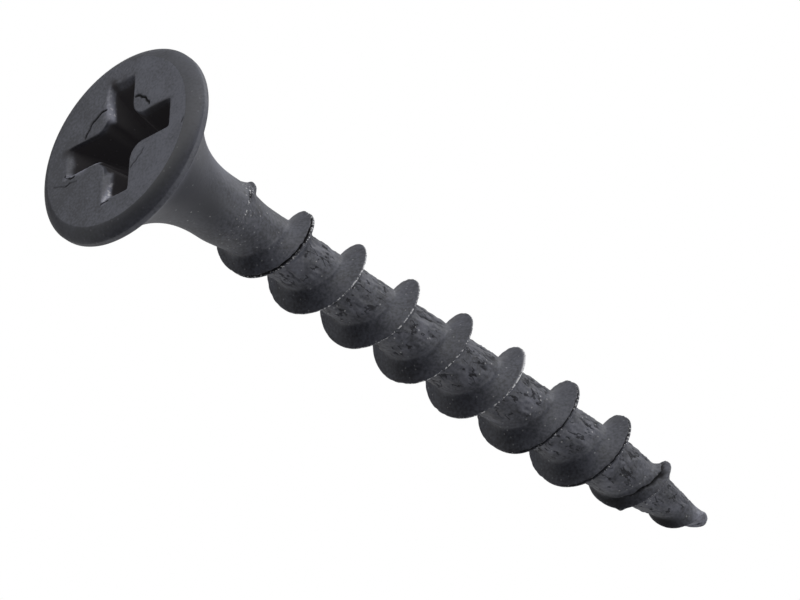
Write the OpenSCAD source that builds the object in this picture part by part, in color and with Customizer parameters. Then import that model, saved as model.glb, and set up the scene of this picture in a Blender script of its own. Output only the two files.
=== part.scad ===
// Wood screw with a trumpet head, a cross recess and a coarse thread.
// Millimetres. The origin is the centre of the head's flush face and the point is toward -Z.

/* [Overall] */
// Length from the flush face to the end of the point
screw_length = 32; // [30:0.5:60]
// Side the thread turns to: -1 left-hand, 1 right-hand
thread_hand = -1; // [-1, 1]

/* [Head] */
// Largest diameter of the head
head_diameter = 7.94; // [7:0.02:9]
// Width of the soft shoulder round the flush face
shoulder_width = 0.51; // [0.3:0.01:1.2]
// Drop of the soft shoulder from the flush face to the rim
shoulder_drop = 0.41; // [0.2:0.01:0.6]
// Height of the straight rim
rim_height = 0.16; // [0.05:0.01:0.4]
// Rounding under the rim
rim_rounding = 0.12; // [0.05:0.01:0.2]
// Depth at which the trumpet flare meets the neck
flare_depth = 5.34; // [4.6:0.02:6]
// How hollow the trumpet flare is, 1 being a plain cone
flare_hollow = 2.34; // [1.2:0.02:3]

/* [Recess] */
// Distance across two opposite wings at the flush face
recess_across = 5.08; // [4.4:0.02:5.4]
// Width of a wing at the flush face
wing_width = 1.25; // [1:0.01:1.4]
// Rounding of the webs between the wings at the flush face
web_rounding = 0.64; // [0.3:0.02:0.8]
// Depth of the recess down to the ends of the wings
recess_depth = 2.7; // [2:0.05:3]
// Distance the recess was punched off the screw's axis
recess_offset = 0.15; // [0:0.01:0.3]

/* [Shank and thread] */
// Diameter of the plain neck
neck_diameter = 2.58; // [2.4:0.02:2.8]
// Diameter over the thread
thread_diameter = 3.56; // [3.3:0.02:3.8]
// Diameter at the root of the thread
root_diameter = 2.1; // [1.9:0.02:2.3]
// Distance from one crest to the next
thread_pitch = 2.875; // [2.6:0.005:3.2]
// Depth at which a crest would cross the +X half plane
crest_start = 2.733; // [1.5:0.001:4]
// Length of the flank on the head side of a crest
head_flank = 0.58; // [0.35:0.01:0.7]
// Length of the flank on the point side of a crest
point_flank = 0.516; // [0.35:0.002:0.7]
// Width of the crest
crest_land = 0.06; // [0.02:0.01:0.1]
// Length over which the thread rises out of the neck
run_out = 2.6; // [2:0.1:4]

/* [Point] */
// Length of the tapering point
point_length = 5.75; // [5:0.05:8]
// Diameter of the blunt end
end_diameter = 0.54; // [0.2:0.02:0.6]

/* [Hidden] */
head_r = head_diameter / 2;
neck_r = neck_diameter / 2;
crest_r = thread_diameter / 2;
root_r = root_diameter / 2;
end_r = end_diameter / 2;
rim_low = shoulder_drop + rim_height;
flare_top = rim_low + rim_rounding;
flare_r = head_r - rim_rounding;
point_top = screw_length - point_length;
thread_top = flare_depth + run_out;
columns = 40;
turn = 360;
margin = 0.03;
arc_steps = 8;
flare_steps = 16;
flank_head_power = 1.5;
flank_point_power = 1.31;
web_steps = 5;
wing_taper = 0.58;
width_taper = 0.34;
web_taper = 0.15;
bottom_cone = 0.4;
clear_above = 0.3;
recess_turn = 45;
flare_segments = 96;
end_round = 0.35;
shoulder_corner = 1.25;
neck_blend = 2.1;
rise_share = 0.82;
rise_length = 2;
late_rise_depth = 8;
late_rise_length = 2.4;
root_swell = 0.05;
swell_depth = 12;
swell_length = 10;
point_fullness = 1.6;
end_share = 0.6;
half_land = crest_land / 2;
gap = thread_pitch - head_flank - point_flank - crest_land;

// Positions of the profile samples along one pitch, measured from the crest toward the point
samples_mm = [
    -head_flank - half_land,
    -head_flank * 0.74 - half_land,
    -head_flank * 0.5 - half_land,
    -head_flank * 0.28 - half_land,
    -head_flank * 0.12 - half_land,
    -half_land,
    half_land,
    half_land + point_flank * 0.2,
    half_land + point_flank * 0.45,
    half_land + point_flank * 0.72,
    half_land + point_flank,
    half_land + point_flank + gap * 0.34,
    half_land + point_flank + gap * 0.68
];
per_turn = len(samples_mm);
first_turn = -2;
last_turn = ceil(screw_length / thread_pitch) + 2;
levels = [
    for (n = [first_turn : last_turn])
        for (s = samples_mm)
            n + s / thread_pitch
];

function limit(v, low, high) = max(low, min(high, v));
function ease(t) = let (u = limit(t, 0, 1)) u * u * (3 - 2 * u);
function mix(a, b, t) = a + (b - a) * t;

// Root radius at a depth: neck, then the root, which swells a little toward the point, then the
// tapering point with a rounded end
function core_r(depth) =
    let (
        into = ease((depth - flare_depth) / neck_blend),
        swell = root_swell * ease((depth - swell_depth) / swell_length),
        shank = mix(neck_r, root_r, into) + swell,
        along = limit((depth - point_top) / point_length, 0, 1),
        taper = mix(root_r + root_swell, end_r, pow(along, point_fullness)),
        last = limit((screw_length - depth) / end_round, 0, 1),
        blunt = end_share + (1 - end_share) * sqrt(1 - (1 - last) * (1 - last))
    )
    depth < point_top ? shank : taper * blunt;

// Height over the root of the crest that lies at a depth
function ridge(depth) =
    let (
        early = rise_share * ease((depth - flare_depth) / rise_length),
        late = (1 - rise_share) * ease((depth - late_rise_depth) / late_rise_length),
        rise = early + late,
        fall = 1 - limit((depth - point_top) / point_length, 0, 1)
    )
    (crest_r - root_r) * rise * pow(fall, 0.72);

// Share of the ridge's height at a distance from the crest, both flanks being hollow
function flank(x) =
    x < -half_land
        ? pow(max(0, 1 + (x + half_land) / head_flank), flank_head_power)
        : (x > half_land
            ? pow(max(0, 1 - (x - half_land) / point_flank), flank_point_power)
            : 1);

// Radius of the threaded surface at a depth and an angle
function surface_r(depth, angle) =
    let (
        q = (depth - crest_start) / thread_pitch + thread_hand * angle / turn,
        x = (q - round(q)) * thread_pitch
    )
    core_r(depth) + ridge(depth - x) * flank(x);

function surface_point(depth, angle) =
    let (r = surface_r(depth, angle))
    [r * cos(angle), r * sin(angle), -depth];

// Depth of a helical level at an angle, the levels running along the helix
function level_depth(i, angle) =
    crest_start + thread_pitch * (levels[i] - thread_hand * angle / turn);

// A stretch of the threaded shank between two depths, closed by a flat face at each end.
// Its points run along the helix, so the crest is a clean edge all the way round.
module threaded_stretch(top, bottom) {
    angles = [for (j = [0 : columns - 1]) j * turn / columns];
    low = [
        for (a = angles)
            len([for (i = [0 : len(levels) - 1]) if (level_depth(i, a) <= top + margin) i])
    ];
    high = [
        for (a = angles)
            len([for (i = [0 : len(levels) - 1]) if (level_depth(i, a) < bottom - margin) i]) - 1
    ];
    // The column after the last is the first one again, one turn along the helix
    lows = concat(low, [low[0] + thread_hand * per_turn]);
    highs = concat(high, [high[0] + thread_hand * per_turn]);
    counts = [for (j = [0 : columns - 1]) high[j] - low[j] + 3];
    starts = [for (j = 0, s = 0; j < columns; s = s + counts[j], j = j + 1) s];
    bases = concat(starts, [starts[0]]);
    sizes = concat(counts, [counts[0]]);
    points = [
        for (j = [0 : columns - 1])
            each concat(
                [surface_point(top, angles[j])],
                [for (i = [low[j] : high[j]]) surface_point(level_depth(i, angles[j]), angles[j])],
                [surface_point(bottom, angles[j])]
            )
    ];
    top_centre = len(points);
    bottom_centre = top_centre + 1;
    all_points = concat(points, [[0, 0, -top], [0, 0, -bottom]]);
    sides = [
        for (j = [0 : columns - 1])
            let (
                k = j + 1,
                first = max(lows[j], lows[k]),
                last = min(highs[j], highs[k]),
                bj = bases[j] + 1 - lows[j],
                bk = bases[k] + 1 - lows[k],
                top_j = bases[j],
                top_k = bases[k],
                low_j = bases[j] + sizes[j] - 1,
                low_k = bases[k] + sizes[k] - 1
            )
            each concat(
                lows[k] <= lows[j]
                    ? concat(
                        [[top_j, top_k, bk + lows[k]]],
                        [for (i = [lows[k] : 1 : first - 1]) [top_j, bk + i, bk + i + 1]],
                        [[top_j, bk + first, bj + first]])
                    : concat(
                        [[top_j, top_k, bj + lows[j]]],
                        [for (i = [lows[j] : 1 : first - 1]) [top_k, bj + i + 1, bj + i]],
                        [[top_k, bk + first, bj + first]]),
                [for (i = [first : 1 : last - 1]) [bj + i, bk + i, bk + i + 1]],
                [for (i = [first : 1 : last - 1]) [bj + i, bk + i + 1, bj + i + 1]],
                highs[k] <= highs[j]
                    ? concat(
                        [[bj + last, bk + last, low_k]],
                        [for (i = [last : 1 : highs[j] - 1]) [bj + i, low_k, bj + i + 1]],
                        [[bj + highs[j], low_k, low_j]])
                    : concat(
                        [[bj + last, bk + last, low_j]],
                        [for (i = [last : 1 : highs[k] - 1]) [low_j, bk + i, bk + i + 1]],
                        [[low_j, bk + highs[k], low_k]])
            )
    ];
    caps = [
        for (j = [0 : columns - 1])
            each [
                [top_centre, bases[j + 1], bases[j]],
                [
                    bottom_centre,
                    bases[j] + sizes[j] - 1,
                    bases[j + 1] + sizes[j + 1] - 1
                ]
            ]
    ];
    polyhedron(points = all_points, faces = concat(sides, caps), convexity = 10);
}

// One quarter of the cross outline at a depth: the end of a wing, then the rounded web
function recess_quarter(depth) =
    let (
        t = depth / recess_depth,
        reach = recess_across / 2 * (1 - wing_taper * t),
        half = wing_width / 2 * (1 - width_taper * t),
        r = web_rounding * (1 - web_taper * t),
        corner = half + r
    )
    concat(
        [[reach, -half], [reach, half]],
        [
            for (i = [0 : web_steps])
                let (a = 270 - 90 * i / web_steps)
                [corner + r * cos(a), corner + r * sin(a)]
        ]
    );

function turned(p, a) = [p[0] * cos(a) - p[1] * sin(a), p[0] * sin(a) + p[1] * cos(a)];

function recess_ring(depth) = [
    for (k = [0 : 3])
        for (p = recess_quarter(depth))
            let (q = turned(p, 90 * k))
            [q[0], q[1], -depth]
];

// The hollow of the cross recess, reaching a little above the flush face
module recess_hollow() {
    upper = recess_ring(-clear_above);
    lower = recess_ring(recess_depth);
    n = len(upper);
    points = concat(
        upper,
        lower,
        [[0, 0, clear_above], [0, 0, -recess_depth - bottom_cone]]
    );
    walls = [
        for (i = [0 : n - 1])
            let (m = (i + 1) % n)
            each [
                [i, n + m, n + i],
                [i, m, n + m],
                [2 * n, m, i],
                [2 * n + 1, n + i, n + m]
            ]
    ];
    polyhedron(points = points, faces = walls, convexity = 6);
}

// Outline of the head from the axis out over the shoulder, round the rim and down the flare
function head_outline() = concat(
    [[0, 0]],
    [
        for (i = [0 : arc_steps])
            let (
                a = 90 * i / arc_steps,
                out = pow(sin(a), 2 / shoulder_corner),
                down = 1 - pow(cos(a), 2 / shoulder_corner)
            )
            [
                head_r - shoulder_width + shoulder_width * out,
                -shoulder_drop * down
            ]
    ],
    [
        for (i = [0 : arc_steps / 2])
            let (a = 180 * i / arc_steps)
            [
                head_r - rim_rounding + rim_rounding * cos(a),
                -rim_low - rim_rounding * sin(a)
            ]
    ],
    [
        for (i = [1 : flare_steps])
            let (s = i / flare_steps)
            [
                neck_r + (flare_r - neck_r) * pow(1 - s, flare_hollow),
                -mix(flare_top, flare_depth, s)
            ]
    ],
    [[0, -flare_depth]]
);

// The head: flush face, soft shoulder, rim and trumpet flare, with the cross recess punched in
module head() {
    color([0.2, 0.2, 0.22])
    difference() {
        rotate_extrude($fn = flare_segments)
            polygon(head_outline());
        rotate(recess_turn)
            translate([recess_offset, 0, 0])
            rotate(-recess_turn)
            recess_hollow();
    }
}

// The plain neck under the flare, with the thread rising out of it
module neck() {
    color([0.24, 0.24, 0.26])
    threaded_stretch(flare_depth, thread_top);
}

// The threaded shank
module thread() {
    color([0.28, 0.28, 0.3])
    threaded_stretch(thread_top, point_top);
}

// The tapering point with the thread dying away along it
module point() {
    color([0.34, 0.34, 0.36])
    threaded_stretch(point_top, screw_length);
}

head();
neck();
thread();
point();
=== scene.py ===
"""Wood screw: detailed surfaces, black phosphate finish, floor, lights and camera."""

import math

import bpy
import numpy as np
from mathutils import Matrix, Vector


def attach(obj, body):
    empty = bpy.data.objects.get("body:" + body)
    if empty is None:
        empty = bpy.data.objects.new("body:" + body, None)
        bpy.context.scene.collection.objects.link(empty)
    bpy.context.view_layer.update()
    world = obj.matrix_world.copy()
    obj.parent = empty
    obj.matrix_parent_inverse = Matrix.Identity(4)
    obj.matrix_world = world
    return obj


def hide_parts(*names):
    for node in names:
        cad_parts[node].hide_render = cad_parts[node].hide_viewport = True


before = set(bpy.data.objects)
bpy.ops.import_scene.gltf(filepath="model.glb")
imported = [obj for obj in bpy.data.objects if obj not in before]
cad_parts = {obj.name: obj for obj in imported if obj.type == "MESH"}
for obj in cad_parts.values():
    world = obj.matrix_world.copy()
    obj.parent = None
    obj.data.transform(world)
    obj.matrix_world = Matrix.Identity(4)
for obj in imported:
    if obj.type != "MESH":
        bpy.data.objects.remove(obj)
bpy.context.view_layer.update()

# Millimetres are used for every dimension of the screw, and turned to metres in the mesh.
MM = 0.001
TURN = 2.0 * math.pi

# Overall
SCREW_LENGTH = 32.0
THREAD_HAND = -1
PITCH = 2.875
CREST_START = 2.733

# Head
HEAD_RADIUS = 3.985
SHOULDER_WIDTH = 0.51
SHOULDER_DROP = 0.41
SHOULDER_CORNER = 1.3
RIM_BULGE = 0.07
RIM_BULGE_ANGLE = math.radians(12.0)
RIM_HEIGHT = 0.16
RIM_ROUNDING = 0.12
FLARE_DEPTH = 5.34
FLARE_HOLLOW = 2.34
NECK_RADIUS = 1.29

# Recess
RECESS_REACH = 2.54
WING_HALF = 0.625
WEB_ROUNDING = 0.64
RECESS_DEPTH = 2.7
RECESS_POINT = 0.4
REACH_TAPER = 0.58
WIDTH_TAPER = 0.34
WEB_TAPER = 0.15
RECESS_OFFSET = 0.15
CORNER_SHARPNESS = 22.0
LIP_ROUNDING = 0.05
LIP_DEPTH = 0.32
LIP_POWER = 1.6
LIP_ROLL = 0.03
LIP_SHADE = 0.15

# Shank and point
ROOT_RADIUS = 1.05
CREST_RADIUS = 1.78
THREAD_TOP = FLARE_DEPTH + 2.6
POINT_LENGTH = 5.75
POINT_TOP = SCREW_LENGTH - POINT_LENGTH
END_RADIUS = 0.24
POINT_FULLNESS = 1.6
ROOT_SWELL = 0.05
HEAD_FLANK = 0.58
POINT_FLANK = 0.516
HALF_LAND = 0.03
SEAM_LAND = 0.16
SEAM_HALF = 0.05
SEAM_DEPTH = 0.11
NUB_ANGLE = math.radians(45.0)
NUB_DEPTH = 6.16
NUB_WIDTH = 0.24
NUB_TALL = 0.14
NUB_HEIGHT = 0.18
# Ridge: how it rises out of the neck, dies along the point, and is worn on the point
QUICK_RISE = 0.82
QUICK_RISE_LENGTH = 2.0
SLOW_RISE = 0.18
SLOW_RISE_TOP = 8.0
SLOW_RISE_LENGTH = 2.4
FALL_POWER = 0.72
RIDGE_WEAR = 0.42
RIDGE_WEAR_DEPTH = 27.5
RIDGE_WEAR_LENGTH = 0.75
# Folded stretches of the crest: start, length of the start, end, and length of the end
FIRST_FOLD = (7.2, 0.4, 9.0, 0.7)
LAST_FOLD = (21.0, 0.8, 26.6, 0.6)
LAST_FOLD_SHARE = 0.62
SEAM_SIDE = 0.42
SEAM_JAG = 0.008
# Torn fold beside the last small crest
TORN_STRETCH = (27.6, 0.2, 29.0, 0.15)
TORN_HALF = 0.034
TORN_DEPTH = 0.13
HOLE_DEPTH = 28.56
HOLE_SIDE = -0.2
HOLE_HALF = 0.07
# Bend of the whole point to one side, and of its very end
BEND_TOP = 15.0
BEND_LENGTH = 10.0
BEND_SIDE = 0.04
HOOK_TOP = 30.6
HOOK_LENGTH = 1.4
HOOK_SIDE = 0.13
# Wear of the surface
NICK_SEED = 11
NICK_DEPTH = 0.014
NICK_HALF = 0.07
WAVE_SEED = 12
WAVE_HEIGHT = 0.005
WRINKLE_SEED = 13
WRINKLE_HEIGHT = 0.014
PIT_SEED = 14
PIT_COUNT = 150
PIT_TOP = 7.6
PIT_BOTTOM = 29.0
PIT_RADIUS = 0.085
PIT_DEPTH = 0.05
# Short cracks of the root
GROOVE_SEED = 21
GROOVE_COUNT = 150
GROOVE_DEPTHS = (8.5, 29.5)
GROOVE_LENGTHS = (0.12, 0.42)
GROOVE_SLANTS = (-0.5, 0.3)
GROOVE_HALF = 0.036
SPLIT_HALF = 0.042
CRACKS_DEPTH = 0.05
# Where a bell curve is as good as nothing
BELL_END = 30.0
# Long splits of the root: angle in degrees, depth, half length and slant
LONG_SPLITS = (
    (8.0, 15.6, 0.45, 0.1),
    (22.0, 16.3, 0.4, 0.1),
    (-49.0, 18.28, 0.16, -0.9),
    (-44.0, 18.4, 0.14, 0.8),
    (-6.0, 17.9, 0.18, 0.0),
    (27.0, 18.6, 0.5, 0.15),
    (12.0, 19.2, 0.35, 0.1),
    (20.0, 21.5, 0.4, 0.1),
    (1.0, 24.16, 0.24, -0.2),
    (-14.0, 24.45, 0.2, -0.7),
    (-64.0, 24.1, 0.3, -1.1),
    (-122.0, 26.95, 0.38, -0.15),
)
GROOVE_ANGLE = math.radians(25.0)
GROOVE_SPREAD = math.radians(24.0)
TRACE_ANGLE = math.radians(-30.0)
TRACE_DEPTH = 5.7
BURR_ANGLE = math.radians(-103.0)
HEAD_FLANK_POWER = 1.75
POINT_FLANK_POWER = 1.31


def ease(value):
    """Smooth step: 3 v squared minus 2 v cubed, with v held between 0 and 1."""
    held = np.clip(value, 0.0, 1.0)
    return held * held * (3.0 - 2.0 * held)


def between(value, start, coming, end, going):
    """Share that eases in from the start and out from the end, each over a length of its own."""
    return ease((value - start) / coming) * (1.0 - ease((value - end) / going))


def bell(value, middle, width):
    """Bell curve of the distance from the middle, e to the minus square of distance over width."""
    return np.exp(-(((value - middle) / width) ** 2))


def unrolled_noise(angle, depth, seed, longest, shortest, waves=48):
    """Sum of cosine waves over the unrolled shank, each with a whole number of turns round it.
    Wave lengths are spread evenly between the longest and the shortest, and the sum has a
    mean square of one."""
    rng = np.random.default_rng(seed)
    total = np.zeros(np.broadcast(angle, depth).shape)
    for _ in range(waves):
        length = math.exp(rng.uniform(math.log(shortest), math.log(longest)))
        heading = rng.uniform(0.0, TURN)
        around = round(TURN * ROOT_RADIUS / length * math.cos(heading))
        along = TURN / length * math.sin(heading)
        total += np.cos(around * angle + along * depth + rng.uniform(0.0, TURN))
    return total * math.sqrt(2.0 / waves)


def turn_apart(angle, middle):
    """Signed angle from the middle, between minus half a turn and half a turn."""
    return (angle - middle + math.pi) % TURN - math.pi


def place_in_thread(angle, depth):
    """Distance from the nearest crest toward the point, and the depth of that crest."""
    turns = (depth - CREST_START) / PITCH + THREAD_HAND * angle / TURN
    from_crest = (turns - np.round(turns)) * PITCH
    return from_crest, depth - from_crest


def root_radius(depth):
    """Neck radius eased down to the root, which swells a little toward the point, then the
    point's taper, rounded over at its end."""
    shank = NECK_RADIUS + (ROOT_RADIUS - NECK_RADIUS) * ease((depth - FLARE_DEPTH) / 2.1)
    shank = shank + ROOT_SWELL * ease((depth - 12.0) / 10.0)
    along = np.clip((depth - POINT_TOP) / POINT_LENGTH, 0.0, 1.0)
    fat_root = ROOT_RADIUS + ROOT_SWELL
    taper = fat_root + (END_RADIUS - fat_root) * along**POINT_FULLNESS
    last = np.clip((SCREW_LENGTH - depth) / 0.35, 0.0, 1.0)
    blunt = 0.5 + 0.5 * np.sqrt(1.0 - (1.0 - last) ** 2)
    return np.where(depth < POINT_TOP, shank, taper * blunt)


def ridge_height(crest_depth):
    """Height of the crest over the root: rising out of the neck, full, then dying at the point,
    with one worn stretch on the point."""
    quick = QUICK_RISE * ease((crest_depth - FLARE_DEPTH) / QUICK_RISE_LENGTH)
    rise = quick + SLOW_RISE * ease((crest_depth - SLOW_RISE_TOP) / SLOW_RISE_LENGTH)
    fall = 1.0 - np.clip((crest_depth - POINT_TOP) / POINT_LENGTH, 0.0, 1.0)
    worn = RIDGE_WEAR * bell(crest_depth, RIDGE_WEAR_DEPTH, RIDGE_WEAR_LENGTH)
    return (CREST_RADIUS - ROOT_RADIUS) * rise * fall**FALL_POWER * (1.0 - worn)


def seam_zone(crest_depth):
    """Where the rolling has left the crest folded: the first full turn and the last two."""
    return between(crest_depth, *FIRST_FOLD) + LAST_FOLD_SHARE * between(crest_depth, *LAST_FOLD)


def fold(from_crest, crest_depth):
    """Depth of the folded seam as a share: a bell in the middle of the widened crest."""
    folded = seam_zone(crest_depth)
    jagged = np.sin(31.0 * crest_depth) + np.sin(53.0 * crest_depth) + np.sin(87.0 * crest_depth)
    middle = SEAM_SIDE * SEAM_LAND * folded + SEAM_JAG * jagged
    return bell(from_crest, middle, SEAM_HALF * (0.3 + 0.7 * np.minimum(folded, 1.0))) * folded


def torn_zone(from_crest, crest_depth):
    """A crooked torn fold on the head side of the last small crest."""
    along = between(crest_depth, *TORN_STRETCH)
    crooked = 0.2 + 0.14 * ease((28.65 - crest_depth) / 0.5) + 0.02 * np.sin(23.0 * crest_depth)
    hole = bell(crest_depth, HOLE_DEPTH, HOLE_HALF) * bell(from_crest, HOLE_SIDE, HOLE_HALF)
    along = along * (0.35 + 0.65 * ease((crest_depth - 27.9) / 0.3))
    return np.maximum(bell(from_crest, -crooked, TORN_HALF) * along, hole)


def grooves(angle, depth):
    """Share of the cracks that run along the root: the short ones, half of them on one side, and
    the long splits. Each is a narrow bell round the shank and a long one along it, a little
    slanted and crooked."""
    rng = np.random.default_rng(GROOVE_SEED)
    total = np.zeros(np.broadcast(angle, depth).shape)
    for count in range(GROOVE_COUNT):
        spread = GROOVE_SPREAD if count % 2 else math.pi
        middle_angle = GROOVE_ANGLE + rng.uniform(-spread, spread)
        middle_depth = rng.uniform(*GROOVE_DEPTHS)
        length = rng.uniform(*GROOVE_LENGTHS)
        much = rng.uniform(0.5, 1.0)
        down = depth - middle_depth
        slant = rng.uniform(*GROOVE_SLANTS)
        across = turn_apart(angle, middle_angle) * ROOT_RADIUS - slant * down
        across = across + 0.02 * np.sin(16.0 * down)
        near = (across / GROOVE_HALF) ** 2 + (down / length) ** 2
        total = np.maximum(total, much * np.exp(-np.minimum(near, BELL_END)))
    for middle, middle_depth, length, slant in LONG_SPLITS:
        down = depth - middle_depth
        across = turn_apart(angle, math.radians(middle)) * ROOT_RADIUS - slant * down
        across = across + 0.025 * np.sin(13.0 * down)
        total = np.maximum(total, bell(across, 0.0, SPLIT_HALF) * bell(down, 0.0, length))
    return total


def burr(angle, from_crest, crest_depth):
    """A spur of metal left standing on the last full crest."""
    around = bell(turn_apart(angle, BURR_ANGLE), 0.0, 0.11)
    return 0.1 * around * bell(from_crest, 0.03, 0.08) * bell(crest_depth, 27.7, 0.5)


def flank_share(from_crest, crest_depth):
    """Share of the ridge's height: a hollow curve up the head side, a flat crest, a steeper
    hollow curve down the point side. The crest is wider where it is folded."""
    land = HALF_LAND + SEAM_LAND * seam_zone(crest_depth)
    up = np.clip(1.0 + (from_crest + HALF_LAND) / HEAD_FLANK, 0.0, 1.0) ** HEAD_FLANK_POWER
    down = np.clip(1.0 - (from_crest - land) / POINT_FLANK, 0.0, 1.0) ** POINT_FLANK_POWER
    return np.where(from_crest < 0.0, up, down)


# Crests rubbed to bright metal: middle and half length in crest depth, and strength
RUBBED_CRESTS = (
    (7.5, 0.5, 0.45),
    (8.2, 0.4, 0.3),
    (8.7, 0.2, 0.7),
    (11.4, 0.4, 0.3),
    (14.4, 0.3, 0.4),
    (20.1, 0.4, 1.0),
    (22.9, 0.2, 0.5),
    (25.7, 0.2, 0.4),
)


def zones(angle, depth):
    """Masks of the threaded surface: the crest's edge with the nub and the trace of light beside
    it, the folded seam on the crest, the crease at the foot of the head-side flank where a
    highlight is painted, the rough root, the crests rubbed bright, the worn end, the torn fold,
    painted shade on the head-side flank by it and on the last lobe, and the cracks."""
    from_crest, crest_depth = place_in_thread(angle, depth)
    raised = between(crest_depth, FLARE_DEPTH + 1.5, 0.6, 29.4, 1.0)
    folded = np.minimum(seam_zone(crest_depth), 1.0)
    half_edge = 0.036 + 0.02 * bell(crest_depth, 20.1, 0.3)
    edge = np.exp(-(((from_crest - 0.01 - 0.135 * folded) / half_edge) ** 4)) * raised
    knob = bell(turn_apart(angle, NUB_ANGLE - 0.4), 0.0, 0.35) * bell(depth, 5.68, 0.14)
    knob = np.maximum(knob, bell(turn_apart(angle, NUB_ANGLE), 0.0, 0.25) * bell(depth, 6.2, 0.16))
    trace = bell(depth, TRACE_DEPTH, 0.05) * bell(turn_apart(angle, TRACE_ANGLE), 0.0, 0.8)
    edge = np.maximum(np.maximum(edge, knob), trace)
    seam = np.clip(1.6 * fold(from_crest, crest_depth), 0.0, 1.0)
    torn = np.clip(2.0 * torn_zone(from_crest, crest_depth), 0.0, 1.0)
    corner = bell(turn_apart(angle, NUB_ANGLE - 0.68), 0.0, 0.14) * bell(depth, 5.72, 0.07)
    torn = np.maximum(torn, corner)
    # The crease mask carries a painted highlight line at the flank's foot.
    crease = bell(from_crest, -HEAD_FLANK - 0.02, 0.045) * raised
    off_flank = ease((np.abs(from_crest + 0.2) - 0.5) / 0.35)
    rough = off_flank * ease((depth - 7.2) / 2.0)
    cracks = grooves(angle, depth) * off_flank
    rubbed = 0.6 * between(crest_depth, 9.0, 1.5, 20.5, 2.0)
    for middle, wide, much in RUBBED_CRESTS:
        rubbed = rubbed + much * bell(crest_depth, middle, wide)
    rubbed = np.maximum(rubbed, np.maximum(0.35 * knob, 0.4 * trace))
    worn = ease((depth - 30.8) / 0.4)
    # Painted shade on the head-side flank by the torn fold and on the last lobe.
    flank_shade = 0.8 * bell(crest_depth, 27.65, 0.45) * bell(from_crest, -0.22, 0.2)
    flank_shade = flank_shade + bell(crest_depth, 30.5, 0.45) * bell(from_crest, -0.3, 0.45)
    return {
        "edge": edge,
        "seam": seam,
        "crease": crease,
        "rough": rough,
        "rubbed": rubbed,
        "worn": worn,
        "torn": torn,
        "flank_shade": flank_shade,
        "cracks": cracks,
    }


def dents(angle, depth, seed, count, low, high, wide, deep):
    """Sum of small round hollows at random places on the shank between two depths, each a bell
    curve of the distance along the surface."""
    rng = np.random.default_rng(seed)
    total = np.zeros(np.broadcast(angle, depth).shape)
    for _ in range(count):
        middle_angle = rng.uniform(0.0, TURN)
        middle_depth = rng.uniform(low, high)
        width = wide * rng.uniform(0.6, 1.5)
        stretch = rng.uniform(0.8, 2.6)
        across = turn_apart(angle, middle_angle) * ROOT_RADIUS / width
        down = (depth - middle_depth) / (width * stretch)
        total += rng.uniform(0.4, 1.0) * np.exp(-np.minimum(across**2 + down**2, BELL_END))
    return -deep * total


def nub(angle, depth):
    """The ragged knob where the thread starts to rise: a rounded box bell on the neck with a
    torn lower corner."""
    across = turn_apart(angle, NUB_ANGLE) / NUB_WIDTH
    down = (depth - NUB_DEPTH - 0.06 * across) / NUB_TALL
    knob = NUB_HEIGHT * np.exp(-(across**4) - down**4)
    torn = 0.10 * bell(turn_apart(angle, NUB_ANGLE - 0.5), 0.0, 0.2) * bell(depth, 5.85, 0.16)
    return knob + torn


def shank_radius(angle, depth):
    """Radius of the threaded surface: root and ridge, then wear. The crest is nicked by noise
    that runs along it and folded in places, with a torn fold and a spur by the last full one.
    The root is pitted, cracked and lightly wrinkled, and the nub stands on the neck."""
    from_crest, crest_depth = place_in_thread(angle, depth)
    masks = zones(angle, depth)
    height = ridge_height(crest_depth) * ease((depth - FLARE_DEPTH) / 0.5)
    radius = root_radius(depth) + height * flank_share(from_crest, crest_depth)
    full = np.clip(height / (CREST_RADIUS - ROOT_RADIUS), 0.0, 1.0)
    nicks = np.maximum(unrolled_noise(angle, crest_depth, NICK_SEED, 1.6, 0.22), 0.0)
    crest_area = np.exp(-((from_crest / NICK_HALF) ** 2)) * ease(2.0 * full - 0.6)
    radius = radius - NICK_DEPTH * nicks * crest_area
    radius = radius - SEAM_DEPTH * fold(from_crest, crest_depth)
    radius = radius - TORN_DEPTH * torn_zone(from_crest, crest_depth)
    radius = radius + burr(angle, from_crest, crest_depth)
    settled = between(depth, FLARE_DEPTH, 0.9, 31.4, 0.6)
    radius = radius + WAVE_HEIGHT * settled * unrolled_noise(angle, depth, WAVE_SEED, 2.6, 0.6)
    rough = masks["rough"] * settled
    wrinkles = unrolled_noise(angle, depth, WRINKLE_SEED, 0.7, 0.16, 90)
    radius = radius + WRINKLE_HEIGHT * rough * wrinkles
    radius = radius - CRACKS_DEPTH * masks["cracks"] * settled
    pits = dents(
        angle, depth, PIT_SEED, PIT_COUNT, PIT_TOP, PIT_BOTTOM, PIT_RADIUS, PIT_DEPTH
    )
    return radius + pits * (0.15 + 0.85 * rough) + nub(angle, depth)


def shank_points(angle, depth):
    """Points of the threaded surface from its radius, angle and depth. The last of the point is
    bent a little to one side."""
    radius = shank_radius(angle, depth)
    bend = BEND_SIDE * ease((depth - BEND_TOP) / BEND_LENGTH)
    bend = bend + HOOK_SIDE * np.clip((depth - HOOK_TOP) / HOOK_LENGTH, 0.0, 1.0) ** 2
    x = radius * np.cos(angle) + bend * math.cos(NUB_ANGLE)
    y = radius * np.sin(angle) + bend * math.sin(NUB_ANGLE)
    return np.stack([x, y, -depth + 0.0 * angle], -1)


def add_masks(piece, masks):
    """Named value per point of the mesh, for the finish to read."""
    for name, values in masks.items():
        attribute = piece.data.attributes.new(name, "FLOAT", "POINT")
        attribute.data.foreach_set("value", values.astype(np.float32).ravel())


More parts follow.
